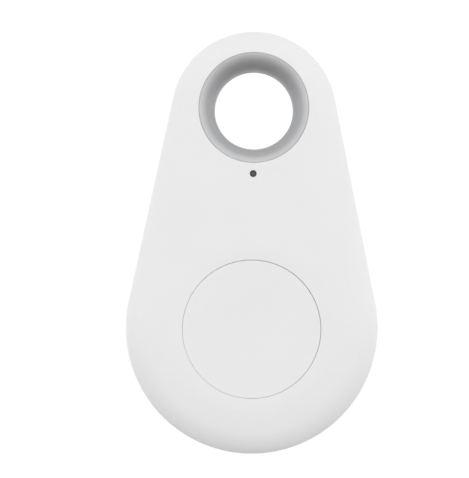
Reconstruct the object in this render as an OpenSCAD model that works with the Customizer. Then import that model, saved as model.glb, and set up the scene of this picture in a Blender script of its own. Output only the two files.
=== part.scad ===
// Key-finder tag: a teardrop of two snap-fitted shells with a lined key-ring hole, one round push
// button, and a coin-cell radio board inside.
// +Z points up to the key-ring end, the button faces -Y, and the origin is the centre of the hole.

/* [Outline] */
// Radius of the rounded top end
top_r = 10.2; // [9.6:0.1:11]
// Radius of the rounded bottom end
bottom_r = 15.55; // [15:0.05:17]
// Distance between the centres of the two rounded ends
end_gap = 26.25; // [25.5:0.25:29]
// Height of the key-ring hole's axis above the top end's centre
hole_rise = 0.55; // [0:0.05:0.8]

/* [Edge] */
// Height of the straight band beside the parting line
band_h = 0.35; // [0.2:0.05:0.6]
// Radius of the slack curve up each side
side_r = 12; // [10:0.5:14]
// Radius of the shoulder
shoulder_r = 3.4; // [3:0.1:3.6]
// Radius of the shallow crown that runs in to the flat face
crown_r = 20; // [16:1:20]

/* [Shell] */
// Wall thickness
wall = 1.2; // [1:0.05:1.4]
// How far the front shell's lip reaches into the rear shell
lip_h = 1; // [0.8:0.1:1.2]
// Thickness of the lip
lip_t = 0.55; // [0.5:0.05:0.6]
// Width of the notch for a fingernail at the bottom of the seam
notch_w = 7; // [4:0.5:9]

/* [Key-ring hole] */
// Radius of the hole at its throat
throat_r = 4.85; // [4:0.05:5]
// Length of the straight throat
throat_h = 1.6; // [1.6:0.2:3]
// Radius of the liner where it meets the face
mouth_r = 6.65; // [6.4:0.05:6.7]

/* [Button] */
// Radius of the button
button_r = 8.3; // [7.6:0.1:8.3]
// Gap round the button
button_gap = 0.14; // [0.12:0.02:0.2]
// How far the button travels
button_travel = 0.3; // [0.2:0.05:0.3]
// Radius of the shallow dish that the button lies in
dish_r = 9.8; // [9.3:0.1:10.2]
// Depth of the dish at its centre
dish_depth = 0.4; // [0.2:0.05:0.5]

/* [Light hole] */
// Radius of the light hole
light_r = 0.42; // [0.35:0.01:0.5]
// Distance of the light hole below the key-ring hole's axis
light_drop = 8; // [8:0.05:8.3]

/* [Coin cell] */
// Radius of the coin cell
cell_r = 10; // [9.9:0.05:10]
// Thickness of the coin cell
cell_t = 3.2; // [2.9:0.1:3.2]

/* [Board] */
// Thickness of the circuit board
board_t = 0.8; // [0.6:0.1:0.8]
// Clearance between the board and the wall
board_gap = 0.45; // [0.35:0.05:0.6]

/* [Hidden] */
$fn = 96;

// A hair of overlap for cuts and joined pieces
bite = 0.2;
// Clearance of one moulded part in another
fit_gap = 0.05;

// The outline: ends on the centre line, and the turn of the straight sides from upright
top_z = -hole_rise;
bottom_z = top_z - end_gap;
ENDS = [[top_r, top_z], [bottom_r, bottom_z]];
HULL_FN = 48;
lean = asin((bottom_r - top_r) / end_gap);
side_len = end_gap * cos(lean);

// The half section, as [inset from the outline, depth from the parting plane]: three arcs, each
// starting where the last one ends, at these turns from facing sideways (0) to facing forward (90)
side_turn = 10;
shoulder_turn = 80;
side_steps = 1;
shoulder_steps = 6;
crown_steps = 1;
side_c = [side_r, band_h];
shoulder_c = side_c + (side_r - shoulder_r) * [-cos(side_turn), sin(side_turn)];
crown_c = shoulder_c + (crown_r - shoulder_r) * [cos(shoulder_turn), -sin(shoulder_turn)];
half_t = crown_c[1] + crown_r;
inner_d = half_t - wall;

// The dish as part of a large sphere
dish_sphere = (pow(dish_r, 2) + pow(dish_depth, 2)) / (2 * dish_depth);
dish_steps = 10;

// Key-ring hole: the liner's own height, its flange, and the collars that hold the flange
liner_low = 0.3;
liner_d = half_t - liner_low;
collar_in = mouth_r + fit_gap;
collar_out = 7.3;
flange_r = 7.2;
flange_d = 0.6;
mouth_steps = 12;

// Stack of depths inside: board, switch and button in front, cell behind
board_back = 0.4;
board_front = board_back + board_t;
board_in = wall + board_gap;
board_top = -5;
board_arc_r = 7.45;
cell_front = -0.1;
cell_back = cell_front - cell_t;

// Switch on the board's front
switch_w = 5.2;
switch_floor = board_front + 0.2;
switch_top = board_front + 1.2;
switch_plate = 0.15;
switch_leg_w = 2;
plunger_r = 1.35;
plunger_rim_r = 1.8;
plunger_low = board_front + 0.8;
plunger_gap = 0.1;
plunger_high = switch_top + switch_plate + button_travel + 0.1;
dome_t = 0.08;
dome_rise = 0.2;
dome_steps = 6;

// Button: flange behind the wall, post on the switch
button_rim_r = button_r + 0.65;
button_rim_d = inner_d - fit_gap;
button_rim_t = 0.5;
button_face_t = 1;
button_edge = 0.1;
button_bore_r = 7.2;
button_rib_w = 0.7;
post_r = 1.6;
post_end = plunger_high + fit_gap;

// Pins that the board is staked to, as [x, z]
pin_r = 0.5;
pin_boss_r = 1.1;
pin_head_r = 0.85;
pin_head_h = 0.4;
pin_room = 0.1;
pin_places = [[9, -13.5], [-9, -13.5], [7.2, -37.1], [-7.2, -37.1]];

// Lip of the front shell, and the snap beads along its straight sides, as shares of their length
lip_in = wall - lip_t;
lip_room = 0.1;
bead_places = [0.2, 0.8];
bead_w = 5;
bead_h = 0.3;
bead_d = 0.6;
bead_out = 0.15;
notch_d = 0.9;

// Status light, and the well and guide that lead its light from the board to the light hole
led_size = [1.6, 0.8, 0.25];
led_lens_w = 1.1;
led_top = 0.6;
well_out = 1.4;
well_in = 0.9;
well_end = board_front + 0.9;
guide_start = board_front + led_top + fit_gap;
guide_step = inner_d - 0.4;
guide_sunk = 0.45;

// Copper, chips and pads: places are [x, z] and sizes are [width, height, thickness]
trace_t = 0.05;
trace_w = 0.5;
trace_h = 3.6;
trace_x = 7;
trace_z = -9.6;
trace_pitch = 0.9;
trace_turns = 4;
chip_place = [-1.6, -13];
chip_size = [4, 4, 0.85];
chip_dot_r = 0.25;
chip_dot_in = 0.6;
chip_dot_d = 0.05;
main_crystal_place = [3.9, -12.2];
main_crystal_size = [3.2, 2.5, 0.5];
clock_crystal_place = [-6.4, -10.4];
clock_crystal_size = [1.5, 3.2, 0.6];
lid_step = 0.4;
lid_t = 0.2;
pad_r = 0.5;
pad_places = [for (i = [0:3]) [-9.9 + 1.4 * (i % 2), -16.6 - 1.4 * floor(i / 2)]];
capacitor_places = [
    [1.6, -10.2], [1.6, -15.6], [3.8, -14.6], [5.6, -14.6],
    [-4.6, -16.2], [-2.6, -16.2], [-6.6, -13.4], [-6.6, -14.4]];
resistor_places = [[2.4, -9.2], [-2.4, -9.2], [-3.8, -10.2], [0.2, -16.4], [6.4, -12.6], [-7, -15.6]];
capacitor_size = [1, 0.5, 0.5];
resistor_size = [1, 0.5, 0.35];
end_share = 0.2;
end_proud = 0.04;

// Leaded parts on the board's back, which stand a little clear of it on their legs
part_clear = 0.1;
transistor_place = [-7.4, -9.6];
transistor_size = [2.9, 1.3, 1];
transistor_legs = [[-8.35, -8.7], [-6.45, -8.7], [-7.4, -10.5]];
transistor_leg_size = [0.4, 0.9, 0.35];
diode_place = [7, -9.4];
diode_size = [1.8, 1.3, 0.9];
diode_leg_size = [0.6, 0.4, 0.3];
diode_leg_out = 1.1;

// Sounder on the board's back, above the cell
sounder_w = 7.5;
sounder_h = 2.5;
sounder_z = -11.55;
sounder_back = board_back - sounder_h;
sounder_bore_r = 3.3;
sounder_wall = 0.4;
sounder_port_w = 1.5;
sounder_port_h = 0.6;
core_base_t = 0.4;
core_r = 0.8;
core_h = 1.5;
coil_r = 1.8;
coil_in = 0.85;
coil_h = 1.35;
magnet_r = 3.1;
magnet_in = 2.1;
magnet_h = 1.5;
diaphragm_d = board_back - 1.7;
diaphragm_t = 0.05;
weight_r = 1.2;
weight_t = 0.2;

// Holder for the cell
cradle_in = cell_r + 0.2;
cradle_out = 11.1;
cradle_h = 2.4;
cradle_skin = 0.5;
finger_w = 6;
finger_d = 4;
finger_keep = 1;
contact_w = 2.8;
contact_room = 0.4;
sheet_t = 0.2;
touch_gap = 0.03;
contact_foot = 2.2;
contact_foot_x = 1.3;
contact_off = 0.3;
dimple_d = 1.8;
dimple_tip_r = 0.35;
dimple_r = 0.7;
strip_w = 2.5;
strip_end = 6;
strip_bend = 4;
strip_top = 1.3;
strip_lean = 0.2;

// The cell's sheet, and how its can, seal and cap nest from the outside in
can_t = 0.25;
can_edge = 0.3;
can_curl_in = 0.7;
gasket_out = 0.75;
gasket_in = 1.35;
cap_out = 1.4;
cap_edge = 0.4;
cap_floor = 0.9;

// Foam pad behind the cell
pad_foam_r = 6;
pad_foam_gap = 0.1;

// Turns a shape drawn with depth along +Z, and height along +Y, to face the front
module to_front() {
    rotate([90, 0, 0]) children();
}

// The same, facing the back
module to_back() {
    mirror([0, 1, 0]) rotate([90, 0, 0]) children();
}

// Points of one arc of the half section
function section_arc(centre, r, from, to, steps) =
    [for (i = [0:steps]) let (turn = from + (to - from) * i / steps)
        centre + r * [-cos(turn), sin(turn)]];

// The half section, moved in by an inset, from a start depth up to the edge of the flat face
function half_section(inset, start) = concat(
    [[inset, start]],
    section_arc(side_c, side_r - inset, 0, side_turn, side_steps),
    section_arc(shoulder_c, shoulder_r - inset, side_turn + 10, shoulder_turn, shoulder_steps),
    section_arc(crown_c, crown_r - inset, shoulder_turn + 5, 90, crown_steps));

// A pebble of the outline's shape, moved in by an inset, from a start depth to the face
module pebble(inset, start) {
    section = half_section(inset, start);
    hull()
        for (end = ENDS)
            translate([0, end[1], 0])
                rotate_extrude($fn = HULL_FN)
                    polygon(concat([for (p = section) [end[0] - p[0], p[1]]],
                                   [[0, half_t - inset], [0, start]]));
}

// A flat plate of the outline's shape, moved in by an inset, between two depths
module plate(inset, from, to) {
    hull()
        for (end = ENDS)
            translate([0, end[1], from])
                cylinder(r = end[0] - inset, h = to - from, $fn = HULL_FN);
}

// Places children on the straight sides, at a share of their length, with +X facing outwards
module on_sides(share) {
    for (side = [0, 1])
        mirror([side, 0, 0])
            translate([0, top_z, 0])
                rotate([0, 0, lean])
                    translate([top_r, -side_len * share, 0])
                        children();
}

// A ring about the depth axis, between two depths
module ring(r_out, r_in, from, to) {
    translate([0, 0, from])
        difference() {
            cylinder(r = r_out, h = to - from);
            translate([0, 0, -bite]) cylinder(r = r_in, h = to - from + 2 * bite);
        }
}

// A disc about the depth axis, between two depths
module disc(r, from, to) {
    translate([0, 0, from]) cylinder(r = r, h = to - from);
}

// A block centred on [x, z], between two depths
module block(x, z, w, h, from, to) {
    translate([x - w / 2, z - h / 2, from]) cube([w, h, to - from]);
}

// A block that stands on the board's front, and one on its back that starts a little way off it
module on_front(place, size) {
    block(place[0], place[1], size[0], size[1], board_front, board_front + size[2]);
}

module on_back(place, size, clear) {
    block(place[0], place[1], size[0], size[1], board_back - size[2], board_back - clear);
}

// One wall of the case: a skin with a lip or none, and a collar round the key-ring hole
module skin(lip) {
    difference() {
        union() {
            difference() {
                union() {
                    pebble(0, 0);
                    if (lip > 0) plate(lip_in, -lip, bite);
                }
                pebble(wall, -lip - bite);
            }
            disc(collar_out, flange_d + fit_gap, inner_d + bite);
        }
        disc(collar_in, -lip - bite, half_t + bite);
    }
}

// Depth of the dish's surface at a radius from the button's axis
function dish_d(r) = half_t - dish_depth + dish_sphere - sqrt(pow(dish_sphere, 2) - pow(r, 2));

// What the dish takes out of the front face
module dish_cut() {
    rotate_extrude()
        polygon(concat([for (i = [0:dish_steps]) let (r = dish_r * i / dish_steps) [r, dish_d(r)]],
                       [[dish_r, half_t + bite], [0, half_t + bite]]));
}

// The snap beads on the lip or, with more room, the pockets that they snap into
module beads(room) {
    for (share = bead_places)
        on_sides(share)
            translate([-lip_in - bite, -bead_w / 2 - room, -bead_d - bead_h / 2 - room])
                cube([bead_out + bite + room, bead_w + 2 * room, bead_h + 2 * room]);
}

// A boss with a shoulder for the board, a pin through it and the staked head behind it
module board_pin() {
    disc(pin_boss_r, board_front, inner_d + bite / 2);
    disc(pin_r, board_back - bite, board_front + bite);
    disc(pin_head_r, board_back - pin_head_h, board_back);
}

// Front half of the case, with the lip that enters the rear half
module front_shell() {
    color("white")
        to_front()
            difference() {
                union() {
                    skin(lip_h);
                    beads(0);
                    for (p = pin_places)
                        translate(p) board_pin();
                    translate([0, -light_drop, 0]) disc(well_out, well_end, inner_d + bite);
                }
                translate([0, bottom_z, 0]) {
                    dish_cut();
                    disc(button_r + button_gap, inner_d - bite, half_t + bite);
                }
                translate([0, -light_drop, 0]) {
                    disc(light_r, inner_d - bite, half_t + bite);
                    disc(well_in, board_front, inner_d);
                }
                disc(collar_in, -bite, half_t + bite);
            }
}

// Rear half of the case, rebated for the lip, with a notch for a fingernail at the bottom
module rear_shell() {
    rebate = lip_in - fit_gap;
    color("white")
        to_back()
            difference() {
                skin(0);
                plate(rebate, -bite, lip_h + lip_room);
                mirror([0, 0, 1]) beads(fit_gap);
                translate([-notch_w / 2, bottom_z - bottom_r - bite, -bite])
                    cube([notch_w, rebate + 2 * bite, notch_d + bite]);
            }
}

// Grey liner: a tube with a bell mouth at each face, held by its flange between the two collars
module ring_liner() {
    mouth_d = throat_h / 2;
    mouth = [for (i = [0:mouth_steps]) let (turn = 90 * i / mouth_steps)
        [mouth_r - (mouth_r - throat_r) * cos(turn), mouth_d + (liner_d - mouth_d) * sin(turn)]];
    back = [for (i = [mouth_steps:-1:0]) [mouth[i][0], -mouth[i][1]]];
    rim = [[mouth_r, flange_d], [flange_r, flange_d], [flange_r, -flange_d], [mouth_r, -flange_d]];
    color("silver")
        to_front()
            rotate_extrude()
                polygon(concat(mouth, rim, back));
}

// Smoky rod in the light well: wide behind the wall, and narrow in the light hole
module light_guide() {
    color("dimgray")
        to_front()
            translate([0, -light_drop, 0]) {
                disc(well_in - fit_gap, guide_start, guide_step);
                disc(light_r - fit_gap, guide_start + bite, half_t - guide_sunk);
            }
}

// Push button: a dished disc, with a rim behind the wall and a post on the switch
module button_cap() {
    face = [for (i = [0:dish_steps])
        let (r = (button_r - button_edge) * i / dish_steps) [r, dish_d(r)]];
    floor_d = half_t - dish_depth - button_face_t;
    color("white")
        to_front()
            translate([0, bottom_z, 0]) {
                rotate_extrude()
                    polygon(concat(face, [
                        [button_r, dish_d(button_r) - button_edge],
                        [button_r, button_rim_d],
                        [button_rim_r, button_rim_d],
                        [button_rim_r, button_rim_d - button_rim_t],
                        [button_bore_r, button_rim_d - button_rim_t],
                        [button_bore_r, floor_d],
                        [post_r, floor_d],
                        [post_r, post_end],
                        [0, post_end]]));
                for (turn = [0:60:300])
                    rotate([0, 0, turn])
                        translate([post_r - bite, -button_rib_w / 2, button_rim_d - button_rim_t + bite])
                            cube([button_bore_r - post_r + 2 * bite, button_rib_w, 2 * bite]);
            }
}

// Circuit board: the outline's shape below the key-ring hole, with holes for the pins
module circuit_board() {
    color("seagreen")
        to_front()
            difference() {
                plate(board_in, board_back, board_front);
                disc(board_arc_r, board_back - bite, board_front + bite);
                translate([-bottom_r, board_top, board_back - bite])
                    cube([2 * bottom_r, top_r - board_top, board_t + 2 * bite]);
                for (p = pin_places)
                    translate(p) disc(pin_r + pin_room, board_back - bite, board_front + bite);
            }
}

// Aerial: a copper strip that folds to and fro, with a tail down to the radio chip
module antenna_trace() {
    color("goldenrod")
        to_front()
            for (i = [0:trace_turns - 1]) {
                x = trace_x + i * trace_pitch;
                block(x, trace_z, trace_w, trace_h, board_front, board_front + trace_t);
                if (i < trace_turns - 1)
                    block(x + trace_pitch / 2, trace_z + (i % 2 == 0 ? 1 : -1) * (trace_h - trace_w) / 2,
                          trace_pitch, trace_w, board_front, board_front + trace_t);
            }
}

// Round gold pads on the back, where the maker's tester touches the board
module test_pads() {
    color("gold")
        to_front()
            for (p = pad_places)
                translate(p) disc(pad_r, board_back - trace_t, board_back);
}

// Radio chip: a flat square package
module bluetooth_chip() {
    color("dimgray")
        to_front()
            difference() {
                on_front(chip_place, chip_size);
                translate(chip_place + (chip_size[0] / 2 - chip_dot_in) * [-1, 1])
                    disc(chip_dot_r, board_front + chip_size[2] - chip_dot_d,
                         board_front + chip_size[2] + bite);
            }
}

// A crystal: a base with a metal lid that steps in all round
module crystal(place, size) {
    on_front(place, size);
    block(place[0], place[1], size[0] - lid_step, size[1] - lid_step,
          board_front + size[2], board_front + size[2] + lid_t);
}

module main_crystal() {
    color("silver")
        to_front()
            crystal(main_crystal_place, main_crystal_size);
}

module clock_crystal() {
    color("silver")
        to_front()
            crystal(clock_crystal_place, clock_crystal_size);
}

// Light behind the light hole: a base with a clear block on it
module status_led() {
    color("lightyellow")
        to_front() {
            on_front([0, -light_drop], led_size);
            block(0, -light_drop, led_lens_w, led_size[1], board_front + led_size[2], board_front + led_top);
        }
}

// A row of small two-ended parts, each a body with two end caps
module small_parts(places, size) {
    for (p = places) {
        on_front(p, [size[0] * (1 - 2 * end_share), size[1], size[2] - end_proud]);
        for (end = [-1, 1])
            on_front(p + [end * size[0] * (1 - end_share) / 2, 0], [size[0] * end_share, size[1], size[2]]);
    }
}

module chip_capacitors() {
    color("tan")
        to_front()
            small_parts(capacitor_places, capacitor_size);
}

module chip_resistors() {
    color("black")
        to_front()
            small_parts(resistor_places, resistor_size);
}

// Three-legged transistor that drives the sounder
module driver_transistor() {
    color("dimgray")
        to_front() {
            on_back(transistor_place, transistor_size, part_clear);
            for (leg = transistor_legs)
                on_back(leg, transistor_leg_size, 0);
        }
}

// Diode across the sounder's coil
module clamp_diode() {
    color("dimgray")
        to_front() {
            on_back(diode_place, diode_size, part_clear);
            for (end = [-1, 1])
                on_back(diode_place + [end * diode_leg_out, 0], diode_leg_size, 0);
        }
}

// Push switch: moulded base with a round well
module switch_base() {
    color("dimgray")
        to_front()
            difference() {
                block(0, bottom_z, switch_w, switch_w, board_front, switch_top);
                translate([0, bottom_z, 0])
                    disc(plunger_rim_r + 2 * plunger_gap, switch_floor, switch_top + bite);
            }
}

// Sheet-metal cover that keeps the plunger in, with a leg down each side
module switch_cover() {
    color("silver")
        to_front() {
            difference() {
                block(0, bottom_z, switch_w, switch_w, switch_top, switch_top + switch_plate);
                translate([0, bottom_z, 0])
                    disc(plunger_r + plunger_gap, switch_top - bite, switch_top + 2 * bite);
            }
            for (side = [-1, 1])
                block(side * (switch_w + switch_plate) / 2, bottom_z, switch_plate, switch_leg_w,
                      board_front, switch_top + switch_plate);
        }
}

// Plunger under the button's post
module switch_plunger() {
    color("black")
        to_front()
            translate([0, bottom_z, 0]) {
                disc(plunger_rim_r, plunger_low, switch_top - fit_gap);
                disc(plunger_r, plunger_low + bite, plunger_high);
            }
}

// Snap dome under the plunger: a thin cap of a sphere
module switch_dome() {
    sphere_r = (pow(plunger_rim_r, 2) + pow(dome_rise, 2)) / (2 * dome_rise);
    function dome_d(r) = plunger_low - sphere_r + sqrt(pow(sphere_r, 2) - pow(r, 2));
    over = [for (i = [0:dome_steps])
        let (r = plunger_rim_r * i / dome_steps) [r, dome_d(r)]];
    under = [for (i = [dome_steps:-1:0]) [over[i][0], over[i][1] - dome_t]];
    color("silver")
        to_front()
            translate([0, bottom_z, 0])
                rotate_extrude()
                    polygon(concat(over, under));
}

// Sounder: a case with a port in one side, closed by the iron base
module sounder_case() {
    color("black")
        to_front()
            difference() {
                block(0, sounder_z, sounder_w, sounder_w, sounder_back, board_back);
                translate([0, sounder_z, 0])
                    disc(sounder_bore_r, sounder_back + sounder_wall, board_back + bite);
                translate([sounder_w / 4, sounder_z - sounder_port_w / 2, sounder_back + sounder_wall])
                    cube([sounder_w, sounder_port_w, sounder_port_h]);
            }
}

// Iron base and pole
module sounder_core() {
    color("gray")
        to_front()
            translate([0, sounder_z, 0]) {
                disc(sounder_bore_r - fit_gap, board_back - core_base_t, board_back);
                disc(core_r, board_back - core_h, board_back - core_base_t + bite);
            }
}

module sounder_coil() {
    color("chocolate")
        to_front()
            translate([0, sounder_z, 0])
                ring(coil_r, coil_in, board_back - coil_h, board_back - core_base_t);
}

module sounder_magnet() {
    color("dimgray")
        to_front()
            translate([0, sounder_z, 0])
                ring(magnet_r, magnet_in, board_back - magnet_h, board_back - core_base_t);
}

// Thin iron disc with a weight at its middle, which the coil shakes
module sounder_diaphragm() {
    color("silver")
        to_front()
            translate([0, sounder_z, 0]) {
                disc(sounder_bore_r - fit_gap, diaphragm_d - diaphragm_t, diaphragm_d);
                disc(weight_r, diaphragm_d - weight_t, diaphragm_d - diaphragm_t / 2);
            }
}

// Ring that holds the cell, open at each side for a contact and at the foot for a fingertip
module cell_cradle() {
    color("black")
        to_front()
            translate([0, bottom_z, 0])
                difference() {
                    ring(cradle_out, cradle_in, board_back - cradle_h, board_back);
                    block(0, 0, 2 * (cradle_out - cradle_skin), contact_w + contact_room,
                          board_back - cradle_h - bite, board_back + bite);
                    block(0, 0, 3 * cradle_out, contact_w + contact_room / 2,
                          board_back - sheet_t - contact_room / 4, board_back + bite);
                    block(0, -cradle_out, finger_w, finger_d,
                          board_back - cradle_h - bite, board_back - finger_keep);
                }
}

// Sprung contacts at the cell's sides: a foot on the board, an upright and a dimple each
module positive_contacts() {
    reach = cell_r + touch_gap;
    color("silver")
        to_front()
            for (side = [0, 180])
                translate([0, bottom_z, 0])
                    rotate([0, 0, side]) {
                        block(reach + contact_foot_x, 0, contact_foot, contact_w,
                              board_back - sheet_t, board_back);
                        block(reach + contact_off, 0, sheet_t, contact_w, board_back - cradle_h, board_back);
                        translate([reach, 0, board_back - dimple_d])
                            rotate([0, 90, 0])
                                cylinder(r1 = dimple_tip_r, r2 = dimple_r, h = contact_off);
                    }
}

// Bent strip under the cell's cap: two feet on the board and a raised middle
module negative_contact() {
    rise = board_back - cell_front - sheet_t - touch_gap;
    inner = [[0, strip_end], [0, strip_bend], [rise, strip_top]];
    outer = [
        [rise + sheet_t, strip_top + strip_lean],
        [sheet_t, strip_bend + strip_lean],
        [sheet_t, strip_end]];
    color("silver")
        to_front()
            translate([-strip_w / 2, bottom_z, board_back])
                rotate([0, 90, 0])
                    linear_extrude(strip_w)
                        polygon([
                            inner[0], inner[1], inner[2],
                            [rise, -strip_top], [0, -strip_bend], [0, -strip_end],
                            [sheet_t, -strip_end], [sheet_t, -outer[1][1]], [rise + sheet_t, -outer[0][1]],
                            outer[0], outer[1], outer[2]]);
}

// Coin cell: the can is the cup whose floor faces the rear
module cell_can() {
    color("lightgray")
        to_front()
            translate([0, bottom_z, 0])
                rotate_extrude()
                    polygon([
                        [0, cell_back],
                        [cell_r - can_edge, cell_back],
                        [cell_r, cell_back + can_edge],
                        [cell_r, cell_front - 2 * can_edge],
                        [cell_r - can_edge, cell_front - can_edge],
                        [cell_r - can_curl_in, cell_front - can_edge],
                        [cell_r - can_curl_in, cell_front - can_edge - can_t],
                        [cell_r - can_t, cell_front - 2 * can_edge],
                        [cell_r - can_t, cell_back + can_t],
                        [0, cell_back + can_t]]);
}

// The cap is the smaller cup that closes it in front
module cell_cap() {
    color("gainsboro")
        to_front()
            translate([0, bottom_z, 0])
                rotate_extrude()
                    polygon([
                        [0, cell_front],
                        [cell_r - cap_out - cap_edge, cell_front],
                        [cell_r - cap_out, cell_front - cap_edge],
                        [cell_r - cap_out, cell_back + cap_floor],
                        [cell_r - cap_out - can_t, cell_back + cap_floor],
                        [cell_r - cap_out - can_t, cell_front - cap_edge - can_t / 4],
                        [cell_r - cap_out - cap_edge - can_t / 4, cell_front - can_t],
                        [0, cell_front - can_t]]);
}

// Insulating ring between the can and the cap
module cell_gasket() {
    color("black")
        to_front()
            translate([0, bottom_z, 0])
                ring(cell_r - gasket_out, cell_r - gasket_in,
                     cell_back + can_edge, cell_front - can_edge - fit_gap);
}

// Foam disc on the rear wall, which stops the cell from rattling
module cell_pad() {
    color("dimgray")
        to_front()
            translate([0, bottom_z, 0])
                disc(pad_foam_r, -inner_d, cell_back - pad_foam_gap);
}

front_shell();
rear_shell();
ring_liner();
light_guide();
button_cap();
circuit_board();
antenna_trace();
test_pads();
bluetooth_chip();
main_crystal();
clock_crystal();
status_led();
chip_capacitors();
chip_resistors();
driver_transistor();
clamp_diode();
switch_base();
switch_cover();
switch_plunger();
switch_dome();
sounder_case();
sounder_core();
sounder_coil();
sounder_magnet();
sounder_diaphragm();
cell_cradle();
positive_contacts();
negative_contact();
cell_can();
cell_cap();
cell_gasket();
cell_pad();
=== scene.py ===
# Key-finder tag. Every length here is in millimetres times MM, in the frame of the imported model: +Z runs up
# to the key-ring end, the button faces -Y, and the origin is the centre of the key-ring hole.
from math import asin, cos, pi, radians, sin, sqrt
import bmesh
import bpy
from mathutils import Matrix, Vector


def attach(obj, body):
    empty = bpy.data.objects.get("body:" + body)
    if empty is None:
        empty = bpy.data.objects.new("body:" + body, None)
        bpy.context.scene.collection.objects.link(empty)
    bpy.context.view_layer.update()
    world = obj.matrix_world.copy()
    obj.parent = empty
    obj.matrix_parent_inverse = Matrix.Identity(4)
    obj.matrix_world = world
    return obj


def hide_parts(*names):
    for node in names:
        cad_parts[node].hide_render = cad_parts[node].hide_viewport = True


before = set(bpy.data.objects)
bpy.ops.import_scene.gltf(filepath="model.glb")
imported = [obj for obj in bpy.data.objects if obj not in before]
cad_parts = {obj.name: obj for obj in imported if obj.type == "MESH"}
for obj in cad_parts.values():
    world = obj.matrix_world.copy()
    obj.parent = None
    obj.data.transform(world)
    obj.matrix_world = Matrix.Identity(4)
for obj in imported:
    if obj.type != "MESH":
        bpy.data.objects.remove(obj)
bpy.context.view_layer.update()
MM = 0.001

# ---- Camera
# Level with the middle of the button side and square to it, 210 mm away, and rolled by half a degree.
camera_data = bpy.data.cameras.new("camera")
camera_data.lens = 127.6
camera_data.sensor_width = 36
camera_data.shift_x = -0.0377
camera_data.shift_y = 0.0084
camera_data.clip_start = 0.005
camera_data.clip_end = 10
camera = bpy.data.objects.new("camera", camera_data)
bpy.context.scene.collection.objects.link(camera)
camera.matrix_world = (Matrix.Translation((0, -210 * MM, -16.38 * MM))
                       @ Matrix.Rotation(pi / 2, 4, "X") @ Matrix.Rotation(radians(0.57), 4, "Z"))
bpy.context.scene.camera = camera
bpy.context.scene.view_settings.view_transform = "Standard"

# ---- Studio
# A pale sheet a little way below the tag, which fades out to the white room round it.
# The room's own light is soft, and falls mostly from above.
def ranged(value, before, after=(0, 1), shape="LINEAR"):
    """Carries a node's output from one span to another, each given as (low, high)."""
    tree = value.id_data
    node = tree.nodes.new("ShaderNodeMapRange")
    node.interpolation_type = shape
    for (label, number) in zip(("From Min", "From Max", "To Min", "To Max"), before + after):
        node.inputs[label].default_value = number
    tree.links.new(value, node.inputs["Value"])
    return node.outputs["Result"]


def ramped(value, stops):
    """Turns a node's output into a colour, by stops of (position, colour)."""
    tree = value.id_data
    node = tree.nodes.new("ShaderNodeValToRGB")
    elements = node.color_ramp.elements
    for (k, (position, colour)) in enumerate((stops[0], stops[-1])):
        elements[k].position = position
        elements[k].color = (*colour, 1)
    for (position, colour) in stops[1:-1]:
        elements.new(position).color = (*colour, 1)
    tree.links.new(value, node.inputs["Fac"])
    return node.outputs["Color"]


world = bpy.data.worlds.new("room")
bpy.context.scene.world = world
world.use_nodes = True
nodes, links = world.node_tree.nodes, world.node_tree.links
nodes.clear()
way = nodes.new("ShaderNodeTexCoord")
axes = nodes.new("ShaderNodeSeparateXYZ")
links.new(way.outputs["Generated"], axes.inputs[0])
greys = [(0, 0.35), (0.35, 0.78), (0.5, 1.0), (1, 0.69)]
fall = ramped(ranged(axes.outputs["Z"], (-1, 1)), [(height, (grey,) * 3) for (height, grey) in greys])
room_light = nodes.new("ShaderNodeBackground")
room_light.inputs["Strength"].default_value = 1.21
links.new(fall, room_light.inputs["Color"])
white = nodes.new("ShaderNodeBackground")
white.inputs["Color"].default_value = (1, 1, 1, 1)
white.inputs["Strength"].default_value = 1.02
seen = nodes.new("ShaderNodeLightPath")
either = nodes.new("ShaderNodeMixShader")
links.new(seen.outputs["Is Camera Ray"], either.inputs["Fac"])
links.new(room_light.outputs[0], either.inputs[1])
links.new(white.outputs[0], either.inputs[2])
room_out = nodes.new("ShaderNodeOutputWorld")
links.new(either.outputs[0], room_out.inputs["Surface"])


def area_light(name, place, aim, size, power):
    """A square soft box at a place, facing a point."""
    data = bpy.data.lights.new(name, "AREA")
    data.energy = power
    data.size = size * MM
    lamp = bpy.data.objects.new(name, data)
    bpy.context.scene.collection.objects.link(lamp)
    place = Vector(place) * MM
    turn = (Vector(aim) * MM - place).to_track_quat("-Z", "Y")
    lamp.matrix_world = Matrix.Translation(place) @ turn.to_matrix().to_4x4()


area_light("overhead_box", (70, -120, 260), (0, 0, -15), 200, 0.03)
area_light("front_box", (60, -330, 60), (0, 0, -16), 260, 0.03)


def new_material(name):
    """A material with its Principled shader, and that material's nodes and links."""
    material = bpy.data.materials.new(name)
    material.use_nodes = True
    tree = material.node_tree
    return material, tree.nodes["Principled BSDF"], tree.nodes, tree.links


def finish_mesh(bm, name, materials, sharp=32):
    """Closes a bmesh as an object: outward faces, smooth but for edges sharper than an angle."""
    bmesh.ops.remove_doubles(bm, verts=bm.verts, dist=0.0005 * MM)
    bmesh.ops.dissolve_degenerate(bm, edges=bm.edges, dist=0.0002 * MM)
    bmesh.ops.recalc_face_normals(bm, faces=bm.faces)
    for face in bm.faces:
        face.smooth = True
    for edge in bm.edges:
        edge.smooth = len(edge.link_faces) != 2 or edge.calc_face_angle(0) < radians(sharp)
    mesh = bpy.data.meshes.new(name)
    bm.to_mesh(mesh)
    bm.free()
    for material in materials:
        mesh.materials.append(material)
    piece = bpy.data.objects.new(name, mesh)
    bpy.context.scene.collection.objects.link(piece)
    return piece


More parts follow.
